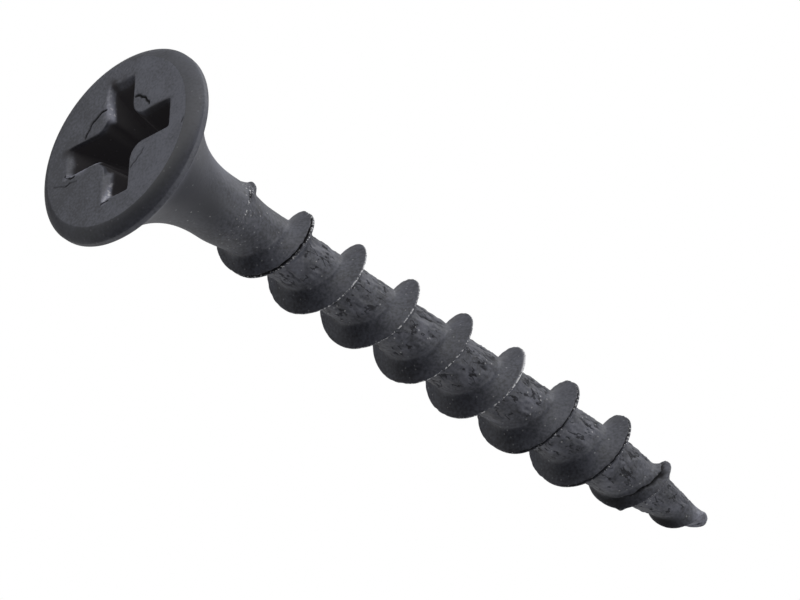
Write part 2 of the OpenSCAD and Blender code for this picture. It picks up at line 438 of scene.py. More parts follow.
def make_piece(name, points, faces, counts, replaced, sharp_rings=()):
    """A mesh object at the origin from points in millimetres and faces listed end to end."""
    mesh = bpy.data.meshes.new(name)
    mesh.vertices.add(len(points))
    mesh.vertices.foreach_set("co", (points * MM).astype(np.float32).ravel())
    mesh.loops.add(len(faces))
    mesh.loops.foreach_set("vertex_index", faces.astype(np.int32))
    starts = np.concatenate([[0], np.cumsum(counts)[:-1]])
    mesh.polygons.add(len(counts))
    mesh.polygons.foreach_set("loop_start", starts.astype(np.int32))
    mesh.update(calc_edges=True)
    mesh.validate()
    mesh.shade_smooth()
    if len(sharp_rings):
        ring = np.zeros(len(points), bool)
        ring[np.concatenate(sharp_rings)] = True
        ends = np.zeros(len(mesh.edges) * 2, np.int32)
        mesh.edges.foreach_get("vertices", ends)
        ends = ends.reshape(-1, 2)
        height = points[:, 2]
        level = np.abs(height[ends[:, 0]] - height[ends[:, 1]]) < 1e-9
        sharp = ring[ends[:, 0]] & ring[ends[:, 1]] & level
        attribute = mesh.attributes.new("sharp_edge", "BOOLEAN", "EDGE")
        attribute.data.foreach_set("value", sharp)
    piece = bpy.data.objects.new(name, mesh)
    bpy.context.scene.collection.objects.link(piece)
    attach(piece, "root")
    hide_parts(replaced)
    return piece


COLUMNS = 240
CREST_ROWS = np.linspace(-0.1, 0.2, 25)
HEAD_SIDE_ROWS = np.linspace(-HEAD_FLANK - 0.05, -0.1, 12, endpoint=False)
POINT_SIDE_ROWS = np.linspace(0.2, POINT_FLANK + 0.05, 9)[1:]
ROOT_ROWS = np.linspace(POINT_FLANK + 0.05, PITCH - HEAD_FLANK - 0.05, 16)[1:-1]
ROWS_MM = np.concatenate([HEAD_SIDE_ROWS, CREST_ROWS, POINT_SIDE_ROWS, ROOT_ROWS])
ROW_MARGIN = 0.012


def threaded_piece(name, slot, top, bottom):
    """A stretch of the shank between two depths, closed by a flat disc at each end.
    Rows run along the helix, so that the crest is a clean line of points. Rows that would pass
    an end stop at it, and the last column meets the first one turn along."""
    per_turn = len(ROWS_MM)
    first = math.floor((top - CREST_START) / PITCH) - 2
    last = math.ceil((bottom - CREST_START) / PITCH) + 2
    levels = (np.arange(first, last + 1)[:, None] + ROWS_MM[None, :] / PITCH).ravel()
    angles = np.arange(COLUMNS) * TURN / COLUMNS
    depth = CREST_START + PITCH * (levels[:, None] - THREAD_HAND * angles[None, :] / TURN)
    low = (depth <= top + ROW_MARGIN).sum(0) - 1
    high = (depth < bottom - ROW_MARGIN).sum(0)
    depth = np.where(depth <= top + ROW_MARGIN, top, depth)
    depth = np.where(depth >= bottom - ROW_MARGIN, bottom, depth)
    points = shank_points(angles[None, :], depth)
    rows = np.arange(len(levels))[:, None]
    held = np.clip(rows, low[None, :], high[None, :])
    index = held * COLUMNS + np.arange(COLUMNS)[None, :]
    wrapped = np.clip(rows[:, 0] - THREAD_HAND * per_turn, low[0], high[0]) * COLUMNS
    index = np.concatenate([index, wrapped[:, None]], 1)
    a, b = index[:-1, :-1].ravel(), index[:-1, 1:].ravel()
    c, d = index[1:, 1:].ravel(), index[1:, :-1].ravel()
    whole = (a != d) & (b != c)
    left_only = (a != d) & (b == c)
    right_only = (a == d) & (b != c)
    quads = np.stack([a, d, c, b], 1)[whole]
    triangles = np.concatenate(
        [np.stack([a, d, b], 1)[left_only], np.stack([a, c, b], 1)[right_only]]
    )
    flat = points.reshape(-1, 3)
    top_ring, bottom_ring = index[0], index[-1]
    top_middle, bottom_middle = len(flat), len(flat) + 1
    flat = np.concatenate([flat, [[0.0, 0.0, -top], [0.0, 0.0, -bottom]]])
    ones = np.ones(COLUMNS, int)
    caps = np.concatenate(
        [
            np.stack([ones * top_middle, top_ring[:-1], top_ring[1:]], 1),
            np.stack([ones * bottom_middle, bottom_ring[1:], bottom_ring[:-1]], 1),
        ]
    )
    triangles = np.concatenate([triangles, caps])
    used = np.unique(np.concatenate([quads.ravel(), triangles.ravel()]))
    new_index = np.zeros(len(flat), int)
    new_index[used] = np.arange(len(used))
    faces = np.concatenate([new_index[quads].ravel(), new_index[triangles].ravel()])
    counts = np.concatenate([np.full(len(quads), 4), np.full(len(triangles), 3)])
    rings = [new_index[top_ring], new_index[bottom_ring]]
    piece = make_piece(name, flat[used], faces, counts, slot, rings)
    middle = np.zeros(2)
    whole_depth = np.broadcast_to(depth, points.shape[:2])
    masks = {}
    for mask, values in zones(angles[None, :], whole_depth).items():
        masks[mask] = np.concatenate([values.ravel(), middle])[used]
    add_masks(piece, masks)
    return piece


def recess_outline(angle, depth):
    """Distance from the recess's middle to its wall. On a ray from the middle it is the nearer
    of the wing's end and the wing's side, or the rounded web where the side has turned away,
    with the wing's corners softened by a high-power blend. The lip rolls every wall out at its
    edge, and below a worn lip the wall steps inward."""
    share = depth / RECESS_DEPTH
    fade = (1.0 - np.clip(depth / LIP_DEPTH, 0.0, 1.0)) ** LIP_POWER
    roll = LIP_ROLL * fade - worn_lip(angle) * (1.0 - fade)
    reach = RECESS_REACH * (1.0 - REACH_TAPER * share) + roll
    half = WING_HALF * (1.0 - WIDTH_TAPER * share)
    rounding = WEB_ROUNDING * (1.0 - WEB_TAPER * share)
    off = np.abs((angle + TURN / 8.0) % (TURN / 4.0) - TURN / 8.0)
    end = reach / np.cos(off)
    side = (half + roll) / np.maximum(np.sin(off), 1e-6)
    middle = half + rounding
    both = np.cos(off) + np.sin(off)
    under = np.maximum((middle * both) ** 2 - (2.0 * middle**2 - (rounding - roll) ** 2), 0.0)
    web = middle * both - np.sqrt(under)
    side = np.where(side * np.cos(off) > middle, side, web)
    power = CORNER_SHARPNESS
    return (end**-power + side**-power) ** (-1.0 / power)


def worn_lip(angle):
    """How far below its edge each wall of the recess steps inward, where the bit has pushed metal
    down into a slanting lip."""
    lip = 0.0 * angle
    for middle, wide, much in WORN_LIPS:
        lip = lip + much * np.exp(-((turn_apart(angle, math.radians(middle)) / wide) ** 2))
    return lip


# Middle in degrees, spread in radians, and step inward in millimetres
WORN_LIPS = (
    (112.0, 0.17, 0.17),
    (254.0, 0.16, 0.21),
    (200.0, 0.12, 0.20),
    (24.0, 0.16, 0.08),
    (90.0, 0.20, 0.10),
    (180.0, 0.16, 0.08),
    (140.0, 0.20, 0.05),
)
# Where the lips are rubbed to bare metal: middle in degrees, spread in radians, and strength
BARE_LIPS = ((113.0, 0.15, 0.5), (258.5, 0.05, 0.8), (197.0, 0.11, 0.55))
# Where painted shade runs softly from the face's edge down into the recess: middle, spread and
# strength
SOFT_SHADE_LIPS = (
    (99.0, 0.07, 0.9),
    (88.0, 0.10, 0.4),
    (168.0, 0.08, 0.7),
    (153.0, 0.12, 0.5),
    (20.0, 0.12, 0.8),
)

# Middle angle, half of the angle it spans, radius in its middle, how much it bows, and strength
ROUND_CRACKS = (
    (math.radians(47.1), 0.29, 1.905, 0.06, 1.6),
    (math.radians(131.0), 0.40, 1.905, 0.085, 1.3),
    (math.radians(313.0), 0.28, 1.72, -0.04, 0.3),
)
# Two ends and strength
STRAIGHT_CRACKS = (
    (-2.56, -0.40, -2.30, -0.64, 0.9),
    (-2.30, -0.64, -2.05, -0.62, 0.7),
    (-3.14, -0.64, -2.51, -0.90, 0.2),
    (-2.51, -0.90, -2.26, -0.83, 0.4),
    (-2.26, -0.83, -1.90, -0.91, 0.2),
    (-0.60, -2.56, -0.19, -2.53, 0.5),
    (-0.12, -2.44, -0.50, -2.30, 0.9),
    (3.50, -0.41, 3.30, -0.67, 0.3),
)
CRACK_HALF = 0.034
CRACK_DEPTH = 0.06
SOFT_SHADE_WIDTH = 0.24
BARE_DEPTH = 0.2
BARE_SPREAD = 0.16
LIP_WIDTH = 0.09
LEAST_LIP = 0.01
HEAD_COLUMNS = 560
FINE_ANGLES = 20000
WALL_RINGS = 26
FACE_RINGS = 66
FLARE_RINGS = 26


def crack_share(x, y):
    """Strength of the hairline cracks at a place on the flush face: some run round the recess and
    some are straight, each a narrow bell across, a little crooked and fading at both ends."""
    angle = np.arctan2(y, x)
    radius = np.hypot(x, y)
    total = np.zeros(np.broadcast(x, y).shape)
    for middle, span, at, bow, much in ROUND_CRACKS:
        along = turn_apart(angle, middle) / span
        line = at - bow * along**2 + 0.02 * np.sin(9.0 * along + 3.0 * middle)
        ends = 1.0 - ease((np.abs(along) - 0.8) / 0.25)
        total += much * bell(radius, line, CRACK_HALF) * ends
    for x0, y0, x1, y1, much in STRAIGHT_CRACKS:
        length = math.hypot(x1 - x0, y1 - y0)
        along = ((x - x0) * (x1 - x0) + (y - y0) * (y1 - y0)) / length**2
        off = ((x - x0) * (y1 - y0) - (y - y0) * (x1 - x0)) / length
        off = off + 0.012 * np.sin(11.0 * along * length + x0)
        ends = between(along, -0.05, 0.1, 0.95, 0.1)
        total += much * bell(off, 0.0, CRACK_HALF) * ends
    return total


def head_angles():
    """Angles spaced by equal lengths along the recess's outline."""
    fine = np.linspace(0.0, TURN, FINE_ANGLES + 1)
    radius = recess_outline(fine, 0.0)
    x, y = radius * np.cos(fine), radius * np.sin(fine)
    run = np.concatenate([[0.0], np.cumsum(np.hypot(np.diff(x), np.diff(y)))])
    even = np.linspace(0.0, run[-1], HEAD_COLUMNS, endpoint=False)
    return np.interp(even, run, fine)


def head_piece():
    """The head as one closed surface: up the recess's walls, over a soft lip, across the flush
    face, over the shoulder and rim, and down the trumpet flare to a flat disc at the neck."""
    angle = head_angles()[None, :]
    cosine, sine = np.cos(angle), np.sin(angle)
    shift = RECESS_OFFSET / math.sqrt(2.0)
    rows = []
    names = ("inside", "lip", "bare", "rim", "crack", "flare", "shade", "light")
    marks = {name: [] for name in names}
    worn = np.clip(worn_lip(angle) * 5.0, 0.0, 1.0)
    shaded = LIP_SHADE * worn
    bare = 0.0 * angle
    for middle, wide, much in BARE_LIPS:
        bare = bare + much * bell(turn_apart(angle, math.radians(middle)), 0.0, wide)
    worn = worn * (0.2 + 0.8 * np.clip(2.0 * bare, 0.0, 1.0))
    # Painted shade that runs softly from the face's edge down into the recess at these angles.
    soft_shade = 0.0 * angle
    for middle, wide, much in SOFT_SHADE_LIPS:
        soft_shade = np.maximum(soft_shade, much * bell(turn_apart(angle, math.radians(middle)), 0.0, wide))
    # Painted shade: the rim band is painted darker on its near side, which faces away from the
    # lights.
    low_side = 0.55 + 0.45 * bell(turn_apart(angle, -0.25 * math.pi), 0.0, 1.0)
    # Painted shade on the middle of the flare that faces the eye, and a painted highlight on its
    # far side.
    near_side = bell(turn_apart(angle, -0.28 * math.pi), 0.0, 0.6)
    far_side = bell(turn_apart(angle, 0.2 * math.pi), 0.0, 0.45)

    def ring(radius, depth, off=1.0, inside=0.0, lip=0.0, rim=0.0, crack=0.0, flare=0.0):
        wide = np.broadcast_to(radius, angle.shape)
        deep = np.broadcast_to(depth, angle.shape)
        rows.append(np.stack([wide * cosine + shift * off, wide * sine + shift * off, -deep], -1))
        marks["inside"].append(inside + 0.0 * angle)
        marks["lip"].append(lip * worn * (1.0 - soft_shade))
        marks["flare"].append(flare + 0.0 * angle)
        marks["shade"].append(flare * near_side)
        marks["light"].append(flare * far_side)
        on_lip = float(lip > LEAST_LIP)
        marks["bare"].append(bell(deep, BARE_DEPTH, BARE_SPREAD) * bare * on_lip)
        marks["rim"].append(rim * low_side)
        marks["crack"].append(crack + 0.0 * angle)

    # Painted shade: the recess's floor and the walls below the lip are marked to be painted near
    # black.
    for share in np.linspace(0.08, 0.92, 6):
        wall = recess_outline(angle, RECESS_DEPTH)
        ring(wall * share, RECESS_DEPTH + RECESS_POINT * (1.0 - share), inside=1.0)
    for part in np.linspace(1.0, 0.0, WALL_RINGS):
        deep = LIP_ROUNDING + (RECESS_DEPTH - LIP_ROUNDING) * part**1.6
        lip = float(bell(deep, 0.0, LIP_DEPTH))
        dark = ease((deep - 0.05 - shaded) / 0.16)
        ring(recess_outline(angle, deep), deep, inside=np.maximum(dark, soft_shade), lip=lip)
    for part in np.linspace(0.0, 1.0, 6)[1:]:
        turn = part * math.pi / 2.0
        deep = LIP_ROUNDING * (1.0 - math.sin(turn))
        out = LIP_ROUNDING * (1.0 - math.cos(turn))
        ring(recess_outline(angle, deep) + out, deep, inside=soft_shade, lip=1.0)
    inner = recess_outline(angle, 0.0) + LIP_ROUNDING
    flat_edge = HEAD_RADIUS - SHOULDER_WIDTH
    for part in np.linspace(0.0, 1.0, FACE_RINGS + 1)[1:]:
        radius = inner + (flat_edge - inner) * part
        off = 1.0 - part
        x = radius * cosine + shift * off
        y = radius * sine + shift * off
        lip = float(bell(part, 0.0, LIP_WIDTH))
        crack = crack_share(x, y) * float(part < 0.99)
        # Painted shade on the flat face next to the recess's edge.
        edge_shade = soft_shade * bell(radius, inner, SOFT_SHADE_WIDTH)
        dark = np.clip(2.6 * crack, 0.0, 1.0)
        ring(radius, CRACK_DEPTH * crack, off, inside=edge_shade, lip=lip, crack=dark)
    bulge = RIM_BULGE * np.exp(-((turn_apart(angle, RIM_BULGE_ANGLE) / 0.7) ** 2))
    for part in np.linspace(0.0, 1.0, 15)[1:]:
        turn = part * math.pi / 2.0
        drop = SHOULDER_DROP * (1.0 - math.cos(turn) ** (2.0 / SHOULDER_CORNER))
        out = math.sin(turn) ** (2.0 / SHOULDER_CORNER)
        ring(flat_edge + (SHOULDER_WIDTH + bulge) * out, drop, 0.0, rim=1.0 - part**3)
    rim_low = SHOULDER_DROP + RIM_HEIGHT
    for part in np.linspace(0.0, 1.0, 4)[1:]:
        ring(HEAD_RADIUS + bulge, SHOULDER_DROP + RIM_HEIGHT * part, 0.0)
    for part in np.linspace(0.0, 1.0, 6)[1:]:
        turn = part * math.pi / 2.0
        ring(
            HEAD_RADIUS + bulge - RIM_ROUNDING * (1.0 - math.cos(turn)),
            rim_low + RIM_ROUNDING * math.sin(turn),
            0.0,
        )
    flare_top = rim_low + RIM_ROUNDING
    flare_radius = HEAD_RADIUS - RIM_ROUNDING
    for part in np.linspace(0.0, 1.0, FLARE_RINGS + 1)[1:]:
        wide = flare_radius + bulge - NECK_RADIUS
        radius = NECK_RADIUS + wide * (1.0 - part) ** FLARE_HOLLOW
        hollow = float(ease(4.0 * part) * ease(4.0 - 4.0 * part))
        ring(radius, flare_top + (FLARE_DEPTH - flare_top) * part, 0.0, flare=hollow)
    points = np.concatenate(rows, 0)
    count = len(points)
    index = np.arange(count * HEAD_COLUMNS).reshape(count, HEAD_COLUMNS)
    index = np.concatenate([index, index[:, :1]], 1)
    quads = np.stack(
        [
            index[:-1, :-1].ravel(),
            index[1:, :-1].ravel(),
            index[1:, 1:].ravel(),
            index[:-1, 1:].ravel(),
        ],
        1,
    )
    flat = points.reshape(-1, 3)
    middles = [[shift, shift, -RECESS_DEPTH - RECESS_POINT], [0.0, 0.0, -FLARE_DEPTH]]
    ones = np.ones(HEAD_COLUMNS, int)
    caps = np.concatenate(
        [
            np.stack([ones * len(flat), index[0, :-1], index[0, 1:]], 1),
            np.stack([ones * (len(flat) + 1), index[-1, 1:], index[-1, :-1]], 1),
        ]
    )
    flat = np.concatenate([flat, middles])
    faces = np.concatenate([quads.ravel(), caps.ravel()])
    counts = np.concatenate([np.full(len(quads), 4), np.full(len(caps), 3)])
    piece = make_piece("screw_head", flat, faces, counts, "head", [index[-1]])
    masks = {}
    for mask, values in marks.items():
        masks[mask] = np.concatenate([np.concatenate(values, 0).ravel(), [0.0, 0.0]])
    masks["inside"][-2] = 1.0
    add_masks(piece, masks)
    return piece


head = head_piece()
neck = threaded_piece("screw_neck", "neck", FLARE_DEPTH, THREAD_TOP)
thread = threaded_piece("screw_thread", "thread", THREAD_TOP, POINT_TOP)
point = threaded_piece("screw_point", "point", POINT_TOP, SCREW_LENGTH)


# Finish


def joined(tree, value, socket):
    """Link another node's output to a socket, or set the socket to a plain value."""
    if isinstance(value, bpy.types.NodeSocket):
        tree.links.new(value, socket)
    else:
        socket.default_value = value


def maths(tree, operation, first, second=0.0, third=0.0):
    """One arithmetic node."""
    node = tree.nodes.new("ShaderNodeMath")
    node.operation = operation
    joined(tree, first, node.inputs[0])
    joined(tree, second, node.inputs[1])
    joined(tree, third, node.inputs[2])
    return node.outputs[0]


def step(tree, value, low, high):
    """Smooth step of a value from 0 at the low limit to 1 at the high one."""
    node = tree.nodes.new("ShaderNodeMapRange")
    node.interpolation_type = "SMOOTHSTEP"
    joined(tree, value, node.inputs["Value"])
    joined(tree, low, node.inputs["From Min"])
    joined(tree, high, node.inputs["From Max"])
    return node.outputs["Result"]


def stretched(tree, place, along):
    """Place with its third part shortened, so that a texture is long in that direction."""
    node = tree.nodes.new("ShaderNodeVectorMath")
    node.operation = "MULTIPLY"
    joined(tree, place, node.inputs[0])
    node.inputs[1].default_value = (1.0, 1.0, along)
    return node.outputs[0]


def noise(tree, place, scale, detail):
    """Fractal noise about one half."""
    node = tree.nodes.new("ShaderNodeTexNoise")
    joined(tree, place, node.inputs["Vector"])
    joined(tree, scale, node.inputs["Scale"])
    node.inputs["Detail"].default_value = detail
    return node.outputs["Fac"]


def cells(tree, place, scale):
    """Distance from the nearest of a set of scattered dots, and a random value for that dot."""
    node = tree.nodes.new("ShaderNodeTexVoronoi")
    joined(tree, place, node.inputs["Vector"])
    joined(tree, scale, node.inputs["Scale"])
    apart = tree.nodes.new("ShaderNodeSeparateColor")
    tree.links.new(node.outputs["Color"], apart.inputs["Color"])
    return node.outputs["Distance"], apart.outputs["Red"]


def new_group(name, inputs, outputs):
    """A shader node group with named sockets. Returns its tree, its inputs and its end node."""
    tree = bpy.data.node_groups.new(name, "ShaderNodeTree")
    for label, kind, value in inputs:
        socket = tree.interface.new_socket(name=label, in_out="INPUT", socket_type=kind)
        if kind == "NodeSocketFloat":
            socket.default_value = value
    for label in outputs:
        tree.interface.new_socket(name=label, in_out="OUTPUT", socket_type="NodeSocketFloat")
    start = tree.nodes.new("NodeGroupInput")
    end = tree.nodes.new("NodeGroupOutput")
    return tree, start.outputs, end


PLACE = ("Place", "NodeSocketVector", None)


def grain_group():
    """Matt grain of the phosphate: fine crystals over broad clouds. Tone runs about one half."""
    tree, start, end = new_group(
        "phosphate_grain",
        (PLACE, ("Fine", "NodeSocketFloat", 0.5), ("Broad", "NodeSocketFloat", 0.5)),
        ("Tone", "Height"),
    )
    fine = noise(tree, start["Place"], 9.0, 4.0)
    broad = noise(tree, start["Place"], 1.1, 2.0)
    fine_part = maths(tree, "MULTIPLY", maths(tree, "SUBTRACT", fine, 0.5), start["Fine"])
    broad_part = maths(tree, "MULTIPLY", maths(tree, "SUBTRACT", broad, 0.5), start["Broad"])
    tone = maths(tree, "ADD", maths(tree, "ADD", fine_part, broad_part), 0.5)
    tree.links.new(tone, end.inputs["Tone"])
    tree.links.new(fine, end.inputs["Height"])
    return tree


def speck_group():
    """Scattered light specks: small dots, of which only a share is kept."""
    tree, start, end = new_group(
        "light_specks",
        (
            PLACE,
            ("Scale", "NodeSocketFloat", 4.0),
            ("Share", "NodeSocketFloat", 0.2),
            ("Size", "NodeSocketFloat", 0.2),
        ),
        ("Mask",),
    )
    distance, chance = cells(tree, start["Place"], start["Scale"])
    ragged = noise(tree, start["Place"], 20.0, 2.0)
    edge = maths(tree, "ADD", distance, maths(tree, "MULTIPLY", ragged, 0.12))
    size = maths(tree, "ADD", start["Size"], 0.06)
    dot = maths(tree, "SUBTRACT", 1.0, step(tree, edge, maths(tree, "MULTIPLY", size, 0.5), size))
    kept = maths(tree, "LESS_THAN", chance, start["Share"])
    tree.links.new(maths(tree, "MULTIPLY", dot, kept), end.inputs["Mask"])
    return tree


def pit_group():
    """Small pits and short cracks that run along the screw."""
    tree, start, end = new_group(
        "pits_and_cracks",
        (PLACE, ("Pits", "NodeSocketFloat", 0.3), ("Cracks", "NodeSocketFloat", 0.5)),
        ("Mask",),
    )
    distance, chance = cells(tree, stretched(tree, start["Place"], 0.6), 3.2)
    ragged = noise(tree, start["Place"], 9.0, 2.0)
    edge = maths(tree, "ADD", distance, maths(tree, "MULTIPLY", ragged, 0.25))
    dot = maths(tree, "SUBTRACT", 1.0, step(tree, edge, 0.22, 0.34))
    pits = maths(tree, "MULTIPLY", dot, maths(tree, "LESS_THAN", chance, start["Pits"]))
    long_place = stretched(tree, start["Place"], 0.4)
    line = maths(tree, "ABSOLUTE", maths(tree, "SUBTRACT", noise(tree, long_place, 3.0, 3.0), 0.5))
    thin = maths(tree, "SUBTRACT", 1.0, step(tree, line, 0.014, 0.04))
    where = step(tree, noise(tree, start["Place"], 2.1, 1.0), 0.49, 0.55)
    cracks = maths(tree, "MULTIPLY", maths(tree, "MULTIPLY", thin, where), start["Cracks"])
    tree.links.new(maths(tree, "MAXIMUM", pits, cracks), end.inputs["Mask"])
    return tree


def chip_group():
    """Broken marks along a line: the line's mask, cut into short lengths by noise."""
    tree, start, end = new_group(
        "broken_line",
        (
            PLACE,
            ("Line", "NodeSocketFloat", 0.0),
            ("Scale", "NodeSocketFloat", 4.0),
            ("Share", "NodeSocketFloat", 0.5),
        ),
        ("Mask",),
    )
    cut = noise(tree, start["Place"], start["Scale"], 3.0)
    limit = maths(tree, "SUBTRACT", 0.78, maths(tree, "MULTIPLY", start["Share"], 0.56))
    kept = step(tree, cut, limit, maths(tree, "ADD", limit, 0.06))
    tree.links.new(maths(tree, "MULTIPLY", kept, start["Line"]), end.inputs["Mask"])
    return tree


GRAIN = grain_group()
SPECKS = speck_group()
PITS = pit_group()
CHIPS = chip_group()


def use_group(tree, group, **values):
    """A node that uses a group, with its inputs linked or set."""
    node = tree.nodes.new("ShaderNodeGroup")
    node.node_tree = group
    for label, value in values.items():
        joined(tree, value, node.inputs[label])
    return node.outputs


def attribute(tree, name):
    """A mask stored on the mesh."""
    node = tree.nodes.new("ShaderNodeAttribute")
    node.attribute_name = name
    return node.outputs["Fac"]


def blended(tree, share, under, over):
    """Colour over another by a share."""
    node = tree.nodes.new("ShaderNodeMix")
    node.data_type = "RGBA"
    joined(tree, share, node.inputs["Factor"])
    joined(tree, under, node.inputs["A"])
    joined(tree, over, node.inputs["B"])
    return node.outputs["Result"]


def start_material(name):
    """An empty finish: its tree, its shader and places on the piece in millimetres."""
    material = bpy.data.materials.new(name)
    material.use_nodes = True
    tree = material.node_tree
    shader = tree.nodes["Principled BSDF"]
    where = tree.nodes.new("ShaderNodeTexCoord")
    scale = tree.nodes.new("ShaderNodeVectorMath")
    scale.operation = "SCALE"
    tree.links.new(where.outputs["Object"], scale.inputs[0])
    scale.inputs["Scale"].default_value = 1.0 / MM
    return material, tree, shader, scale.outputs[0]


def roughened(tree, shader, height, depth):
    """Bump from a height that runs 0 to 1, with its depth in millimetres."""
    bump = tree.nodes.new("ShaderNodeBump")
    bump.inputs["Distance"].default_value = depth * MM
    bump.inputs["Strength"].default_value = 1.0
    tree.links.new(height, bump.inputs["Height"])
    tree.links.new(bump.outputs["Normal"], shader.inputs["Normal"])


# Colours of the finish
COAT_DARK = (0.030, 0.0315, 0.041, 1.0)
COAT_LIGHT = (0.076, 0.080, 0.102, 1.0)
# Near black of pits and cracks, also used as painted shade in the folds and on the flanks.
PIT_AND_SHADE_COLOUR = (0.004, 0.004, 0.005, 1.0)
SPECK_COLOUR = (0.42, 0.42, 0.43, 1.0)
CHIP_COLOUR = (0.66, 0.66, 0.68, 1.0)
# Colour of rubbed metal, also used for a painted highlight on the flare and painted sheen on the
# root.
RUBBED_AND_SHEEN_COLOUR = (0.19, 0.195, 0.245, 1.0)
# Painted shade: near black painted inside the recess.
RECESS_SHADE_COLOUR = (0.013, 0.012, 0.013, 1.0)
# Painted light: a faint glow of the recess, lifting its painted shade.
RECESS_GLOW = (0.0060, 0.0055, 0.0062, 1.0)
BARE_COLOUR = (0.48, 0.49, 0.60, 1.0)
# Painted highlight along the crease at the foot of the head-side flank.
CREASE_HIGHLIGHT_COLOUR = (0.12, 0.125, 0.15, 1.0)
# Painted shade of the rim band below the face's edge.
RIM_SHADE_COLOUR = (0.020, 0.021, 0.026, 1.0)
COAT_ROUGHNESS = 0.5


def matt_where(tree, hollow):
    """Roughness of the finish: a soft sheen, and fully matt where a mask marks a hollow."""
    return maths(tree, "MULTIPLY_ADD", hollow, 1.0 - COAT_ROUGHNESS, COAT_ROUGHNESS)


def head_finish():
    """Black phosphate of the head: matt, rubbed lighter on the worn lips, with hairline cracks
    round the recess. Painted light and shade make the face lighter toward +x, painted shade
    darkens the rim band on its near side and the middle of the flare, and a painted highlight
    lightens the flare's far side.
    Painted shade makes the recess nearly black, and a faint painted glow lights it from within."""
    material, tree, shader, place = start_material("phosphate_head")
    grain = use_group(tree, GRAIN, Place=place, Fine=2.3, Broad=1.5)
    apart = tree.nodes.new("ShaderNodeSeparateXYZ")
    tree.links.new(place, apart.inputs[0])
    # Painted light and shade: the face is painted lighter toward +x and darker toward -x, for how
    # the light falls across it.
    side = step(tree, apart.outputs["X"], -5.0, 3.5)
    tone = maths(tree, "ADD", grain["Tone"], maths(tree, "MULTIPLY_ADD", side, 0.75, -0.49))
    colour = blended(tree, tone, COAT_DARK, COAT_LIGHT)
    lip = attribute(tree, "lip")
    rubbed = use_group(tree, CHIPS, Place=place, Line=lip, Scale=3.0, Share=0.85)
    colour = blended(tree, maths(tree, "MULTIPLY", rubbed["Mask"], 0.75), colour, RUBBED_AND_SHEEN_COLOUR)
    pits = use_group(tree, PITS, Place=place, Pits=0.5, Cracks=0.0)
    bare = attribute(tree, "bare")
    colour = blended(tree, maths(tree, "MULTIPLY", bare, 0.5), colour, BARE_COLOUR)
    flecks = use_group(tree, CHIPS, Place=place, Line=bare, Scale=6.0, Share=0.42)
    colour = blended(tree, flecks["Mask"], colour, CHIP_COLOUR)
    colour = blended(tree, maths(tree, "MULTIPLY", pits["Mask"], lip), colour, PIT_AND_SHADE_COLOUR)
    # Painted shade: the recess is painted near black where the inside mask marks it.
    inside = attribute(tree, "inside")
    colour = blended(tree, inside, colour, RECESS_SHADE_COLOUR)
    # Painted light: the recess glows faintly from within, though it is no lamp.
    glow = blended(tree, inside, (0.0, 0.0, 0.0, 1.0), RECESS_GLOW)
    tree.links.new(glow, shader.inputs["Emission Color"])
    shader.inputs["Emission Strength"].default_value = 1.0
    # Painted shade: the rim band is painted darker, most on its near side.
    shade = maths(tree, "MULTIPLY", attribute(tree, "rim"), 0.95)
    colour = blended(tree, shade, colour, RIM_SHADE_COLOUR)
    # Painted shade: the flare's middle is painted toward the coat's dark colour.
    shade = maths(tree, "MULTIPLY", attribute(tree, "shade"), 1.0)
    colour = blended(tree, shade, colour, COAT_DARK)
    # Painted highlight: the flare's far side is painted lighter.
    light = maths(tree, "MULTIPLY", attribute(tree, "light"), 0.5)
    colour = blended(tree, light, colour, RUBBED_AND_SHEEN_COLOUR)
    specks = use_group(tree, SPECKS, Place=place, Scale=3.6, Share=0.4, Size=0.18)
    seen = maths(tree, "MULTIPLY_ADD", attribute(tree, "flare"), 0.45, 0.08)
    colour = blended(tree, maths(tree, "MULTIPLY", specks["Mask"], seen), colour, SPECK_COLOUR)
    colour = blended(tree, attribute(tree, "crack"), colour, PIT_AND_SHADE_COLOUR)
    tree.links.new(colour, shader.inputs["Base Color"])
    hollow = maths(tree, "MAXIMUM", inside, attribute(tree, "crack"))
    tree.links.new(matt_where(tree, hollow), shader.inputs["Roughness"])
    roughened(tree, shader, grain["Height"], 0.004)
    return material


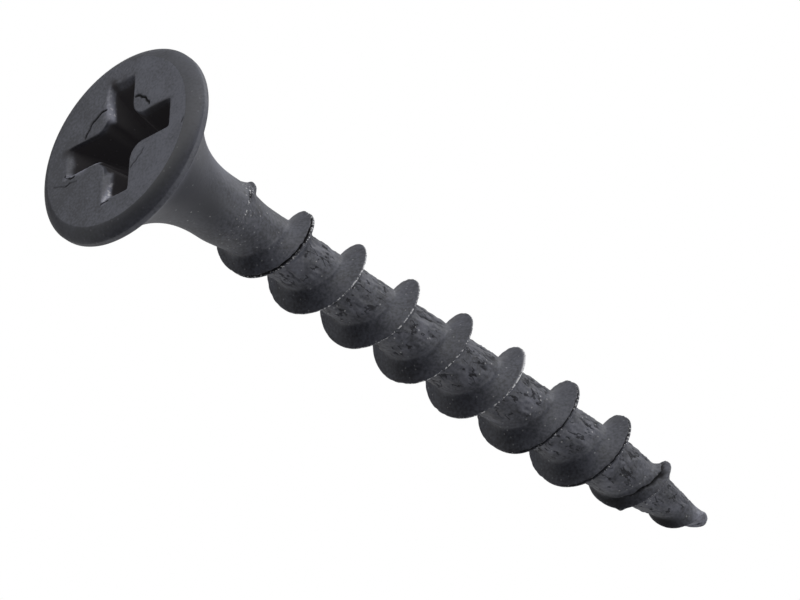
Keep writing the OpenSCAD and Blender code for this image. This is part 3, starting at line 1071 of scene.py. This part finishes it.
def thread_finish(name, fine, speck_share, pit_share):
    """Black phosphate of the shank: smooth flanks, a pitted and cracked root with light specks and
    painted sheen, a painted highlight along the crease at the flank's foot, and a crest chipped to
    bare metal in places and folded in others.
    Painted shade darkens the folds and some head-side flanks."""
    material, tree, shader, place = start_material(name)
    grain = use_group(tree, GRAIN, Place=place, Fine=fine, Broad=1.4)
    rough = attribute(tree, "rough")
    colour = blended(tree, grain["Tone"], COAT_DARK, COAT_LIGHT)
    worn = maths(tree, "MULTIPLY", attribute(tree, "worn"), 0.7)
    dulled = step(tree, noise(tree, place, 7.0, 3.0), 0.35, 0.62)
    worn = maths(tree, "MULTIPLY", worn, maths(tree, "MULTIPLY_ADD", dulled, 0.75, 0.25))
    colour = blended(tree, worn, colour, RUBBED_AND_SHEEN_COLOUR)
    # Painted sheen: lighter clouds painted on the rough root in place of highlights.
    clouds = step(tree, noise(tree, stretched(tree, place, 0.6), 1.6, 2.0), 0.48, 0.66)
    sheen = maths(tree, "MULTIPLY", maths(tree, "MULTIPLY", clouds, rough), 0.28)
    colour = blended(tree, sheen, colour, RUBBED_AND_SHEEN_COLOUR)
    # Painted highlight: a broken light line painted along the crease at the flank's foot.
    foot = attribute(tree, "crease")
    crease = use_group(tree, CHIPS, Place=place, Line=foot, Scale=2.2, Share=0.55)
    colour = blended(tree, maths(tree, "MULTIPLY", crease["Mask"], 0.5), colour, CREASE_HIGHLIGHT_COLOUR)
    pits = use_group(tree, PITS, Place=place, Pits=pit_share, Cracks=1.0)
    pit_mask = maths(tree, "MULTIPLY", pits["Mask"], maths(tree, "MULTIPLY_ADD", rough, 0.7, 0.02))
    colour = blended(tree, pit_mask, colour, PIT_AND_SHADE_COLOUR)
    specks = use_group(tree, SPECKS, Place=place, Scale=5.5, Share=speck_share, Size=0.24)
    on_root = maths(tree, "MULTIPLY_ADD", rough, 0.3, 0.45)
    colour = blended(tree, maths(tree, "MULTIPLY", specks["Mask"], on_root), colour, SPECK_COLOUR)
    # Painted shade: head-side flanks by the torn fold and on the last lobe are painted near black.
    flank_shade = maths(tree, "MULTIPLY", attribute(tree, "flank_shade"), 0.95)
    colour = blended(tree, flank_shade, colour, PIT_AND_SHADE_COLOUR)
    # Painted shade: the folded seam and the torn fold are painted near black, as shade in their
    # grooves; the cracks are painted dark.
    seam = use_group(tree, CHIPS, Place=place, Line=attribute(tree, "seam"), Scale=2.6, Share=0.78)
    folds = maths(tree, "MAXIMUM", seam["Mask"], attribute(tree, "torn"))
    split = maths(tree, "MULTIPLY", attribute(tree, "cracks"), 0.85)
    folds = maths(tree, "MAXIMUM", folds, split)
    colour = blended(tree, folds, colour, PIT_AND_SHADE_COLOUR)
    bright = maths(tree, "MULTIPLY_ADD", attribute(tree, "rubbed"), 0.28, 0.30)
    edge = attribute(tree, "edge")
    chips = use_group(tree, CHIPS, Place=place, Line=edge, Scale=12.0, Share=bright)
    colour = blended(tree, chips["Mask"], colour, CHIP_COLOUR)
    tree.links.new(colour, shader.inputs["Base Color"])
    hollow = maths(tree, "MAXIMUM", maths(tree, "MAXIMUM", folds, pit_mask), flank_shade)
    tree.links.new(matt_where(tree, hollow), shader.inputs["Roughness"])
    deep = maths(tree, "MULTIPLY_ADD", pit_mask, -1.5, grain["Height"])
    roughened(tree, shader, deep, 0.008)
    return material


head.data.materials.append(head_finish())
neck.data.materials.append(thread_finish("phosphate_neck", 3.2, 0.5, 0.2))
thread.data.materials.append(thread_finish("phosphate_thread", 3.0, 0.2, 0.5))
point.data.materials.append(thread_finish("phosphate_point", 3.0, 0.22, 0.45))

# Camera
CAMERA_AZIMUTH = math.radians(45.0)
CAMERA_ELEVATION = math.radians(35.628)
CAMERA_ROLL = math.radians(-56.637)
CAMERA_AIM = Vector((5.3953, -4.1797, -9.6342)) * MM
CAMERA_DISTANCE = 442.53 * MM
CAMERA_LENS = 548.45


def aim_frame(azimuth, elevation, roll):
    """Right, up and backward directions of a view from an azimuth and an elevation, rolled."""
    back = Vector(
        (
            math.sin(azimuth) * math.cos(elevation),
            -math.cos(azimuth) * math.cos(elevation),
            math.sin(elevation),
        )
    )
    level = Vector((math.cos(azimuth), math.sin(azimuth), 0.0))
    upright = back.cross(level)
    right = level * math.cos(roll) + upright * math.sin(roll)
    return right, back.cross(right), back


view_right, view_up, view_back = aim_frame(CAMERA_AZIMUTH, CAMERA_ELEVATION, CAMERA_ROLL)


def turned_to(right, up, back, place):
    """Matrix whose columns are the three directions and the place."""
    return Matrix(
        (
            (right.x, up.x, back.x, place.x),
            (right.y, up.y, back.y, place.y),
            (right.z, up.z, back.z, place.z),
            (0.0, 0.0, 0.0, 1.0),
        )
    )


camera_data = bpy.data.cameras.new("camera")
camera_data.lens = CAMERA_LENS
camera_data.sensor_width = 36.0
camera_data.clip_start = 0.01
camera_data.clip_end = 20.0
camera = bpy.data.objects.new("camera", camera_data)
bpy.context.scene.collection.objects.link(camera)
camera.matrix_world = turned_to(
    view_right, view_up, view_back, CAMERA_AIM + view_back * CAMERA_DISTANCE
)
bpy.context.scene.camera = camera


def soft_light(name, direction, distance, size, power):
    """A square area light that faces the middle of the screw."""
    light = bpy.data.lights.new(name, "AREA")
    light.shape = "SQUARE"
    light.size = size
    light.energy = power
    lamp = bpy.data.objects.new(name, light)
    bpy.context.scene.collection.objects.link(lamp)
    back = direction.normalized()
    side = back.orthogonal().normalized()
    middle = Vector((0.0, 0.0, -0.5 * SCREW_LENGTH * MM))
    lamp.matrix_world = turned_to(side, back.cross(side), back, middle + back * distance)
    return lamp


def view_direction(around, forward):
    """Direction from angles in degrees: round the view from its right, then toward the eye."""
    turn = math.radians(around)
    lean = math.radians(forward)
    flat = view_right * math.cos(turn) + view_up * math.sin(turn)
    return flat * math.cos(lean) + view_back * math.sin(lean)


# Name, angle round the view, lean toward the eye, and power in watts
LIGHTS = (
    ("key_light", 90.0, 25.0, 0.71),
    ("top_left_light", 135.0, 25.0, 0.56),
    ("right_light", 0.0, 25.0, 0.48),
    ("back_right_light", 45.0, -20.0, 0.54),
    ("back_top_light", 90.0, -20.0, 0.22),
    ("back_left_light", 135.0, -20.0, 0.20),
    ("left_light", 180.0, -5.0, 0.19),
    ("low_left_light", 225.0, -20.0, 0.17),
    ("low_light", 270.0, -20.0, 0.09),
    ("front_light", 0.0, 90.0, 0.08),
)
LIGHT_DISTANCE = 0.4
LIGHT_SIZE = 0.3
for light_name, around, forward, power in LIGHTS:
    soft_light(light_name, view_direction(around, forward), LIGHT_DISTANCE, LIGHT_SIZE, power)

# Floor
FLOOR_HALF = 3.0
FLOOR_LIGHT = 0.53
FLOOR_DROP = 0.4
floor_mesh = bpy.data.meshes.new("floor")
floor_corners = [
    (-FLOOR_HALF, -FLOOR_HALF, -FLOOR_DROP),
    (FLOOR_HALF, -FLOOR_HALF, -FLOOR_DROP),
    (FLOOR_HALF, FLOOR_HALF, -FLOOR_DROP),
    (-FLOOR_HALF, FLOOR_HALF, -FLOOR_DROP),
]
floor_mesh.from_pydata(floor_corners, [], [(0, 1, 2, 3)])
floor = bpy.data.objects.new("floor", floor_mesh)
bpy.context.scene.collection.objects.link(floor)


def floor_finish():
    """Pale paper, bright to the eye and only softly lit for the screw above it."""
    material = bpy.data.materials.new("pale_paper")
    material.use_nodes = True
    nodes = material.node_tree.nodes
    links = material.node_tree.links
    nodes.clear()
    path = nodes.new("ShaderNodeLightPath")
    paper = nodes.new("ShaderNodeEmission")
    paper.inputs["Color"].default_value = (1.0, 1.0, 1.0, 1.0)
    paper.inputs["Strength"].default_value = FLOOR_LIGHT
    glow = nodes.new("ShaderNodeEmission")
    glow.inputs["Color"].default_value = (1.0, 1.0, 1.0, 1.0)
    glow.inputs["Strength"].default_value = 1.0
    mix = nodes.new("ShaderNodeMixShader")
    output = nodes.new("ShaderNodeOutputMaterial")
    links.new(path.outputs["Is Camera Ray"], mix.inputs["Fac"])
    links.new(paper.outputs["Emission"], mix.inputs[1])
    links.new(glow.outputs["Emission"], mix.inputs[2])
    links.new(mix.outputs["Shader"], output.inputs["Surface"])
    return material


floor_mesh.materials.append(floor_finish())


def studio_world():
    """Even pale surroundings: white to the eye, dimmer as a light."""
    world = bpy.data.worlds.new("studio")
    world.use_nodes = True
    nodes = world.node_tree.nodes
    links = world.node_tree.links
    nodes.clear()
    path = nodes.new("ShaderNodeLightPath")
    air = nodes.new("ShaderNodeBackground")
    air.inputs["Color"].default_value = (0.98, 0.99, 1.0, 1.0)
    air.inputs["Strength"].default_value = 0.02
    wall = nodes.new("ShaderNodeBackground")
    wall.inputs["Color"].default_value = (1.0, 1.0, 1.0, 1.0)
    wall.inputs["Strength"].default_value = 1.0
    mix = nodes.new("ShaderNodeMixShader")
    output = nodes.new("ShaderNodeOutputWorld")
    links.new(path.outputs["Is Camera Ray"], mix.inputs["Fac"])
    links.new(air.outputs["Background"], mix.inputs[1])
    links.new(wall.outputs["Background"], mix.inputs[2])
    links.new(mix.outputs["Shader"], output.inputs["Surface"])
    bpy.context.scene.world = world


studio_world()
bpy.context.scene.view_settings.view_transform = "Standard"
